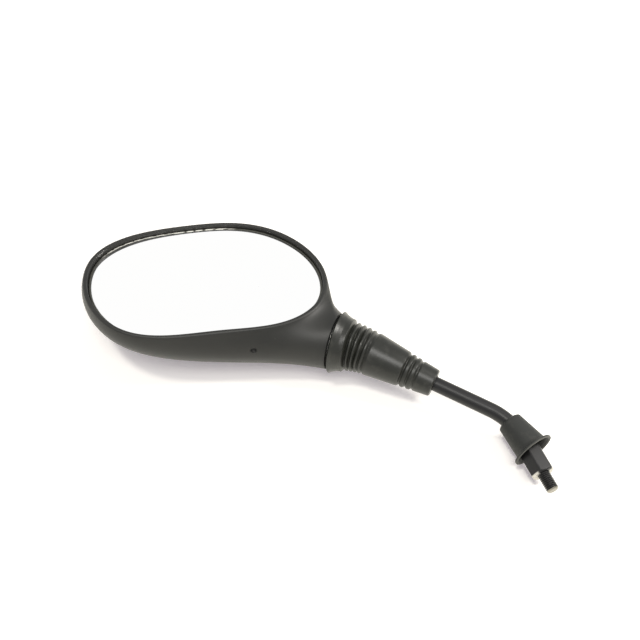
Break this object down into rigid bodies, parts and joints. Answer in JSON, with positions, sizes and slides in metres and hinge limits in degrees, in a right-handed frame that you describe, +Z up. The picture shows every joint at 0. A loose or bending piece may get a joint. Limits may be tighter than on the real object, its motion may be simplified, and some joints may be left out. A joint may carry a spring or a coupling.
{
  "type": "motorcycle mirror",
  "caption": "Left-hand style handlebar mirror with a moulded oval head, convex glass, ball joint under a ribbed rubber boot, bent rod, bell boot and threaded stud",
  "frame": {"origin": "centre of the foot's end face where the stud's thread starts, the shoulder that seats in the perch", "axes": "+Z is up with the mirror lying face up on a table; +X is the longest extent, from the head towards the foot; +Y is across, away from the viewer of the picture"},
  "size_m": [0.3181, 0.2035, 0.0519],
  "materials": {
    "housing_plastic": "satin moulded plastic, warm charcoal",
    "mirror_glass": "silvered convex glass with a ground edge",
    "foam_pad": "double-sided foam tape",
    "inner_plastic": "moulded plastic",
    "zinc_steel": "zinc plated",
    "cast_alloy": "die cast",
    "nylon": "natural nylon",
    "boot_rubber": "satin moulded rubber",
    "black_paint": "gloss black coat on steel"
  },
  "bodies": {
    "stem": {"stem_rod": "black_paint", "stem_ball": "zinc_steel", "hex_foot": "black_paint", "bell_boot": "boot_rubber"},
    "boot": {"ribbed_boot": "boot_rubber", "end_bush": "nylon"},
    "cups": {"ball_cup_rear": "nylon", "ball_cup_front": "nylon"},
    "head": {"mirror_housing": "housing_plastic", "mirror_glass": "mirror_glass", "adhesive_pad": "foam_pad", "glass_carrier": "inner_plastic", "carrier_screws": "zinc_steel", "socket": "cast_alloy", "socket_screws": "zinc_steel", "neck_gasket": "boot_rubber", "clamp_nut": "cast_alloy", "thrust_ring": "zinc_steel", "disc_springs": "zinc_steel", "collar_ring": "nylon"}
  },
  "joints": [
    {"name": "head_turn", "type": "hinge", "parent": "stem", "child": "boot", "pos_m": [-0.11192, 0.08862, 0.01417], "axis": [0.8849, -0.4548, -0.1011], "range_deg": [-40, 40], "deforming": ["ribbed_boot"]},
    {"name": "head_swing", "type": "hinge", "parent": "boot", "child": "cups", "pos_m": [-0.11192, 0.08862, 0.01417], "axis": [0, 0, 1], "range_deg": [-18, 4], "deforming": ["ribbed_boot"]},
    {"name": "head_tilt", "type": "hinge", "parent": "cups", "child": "head", "pos_m": [-0.11192, 0.08862, 0.01417], "axis": [0.3502, 0.9367, 0], "range_deg": [-5, 16], "deforming": ["ribbed_boot"]}
  ]
}
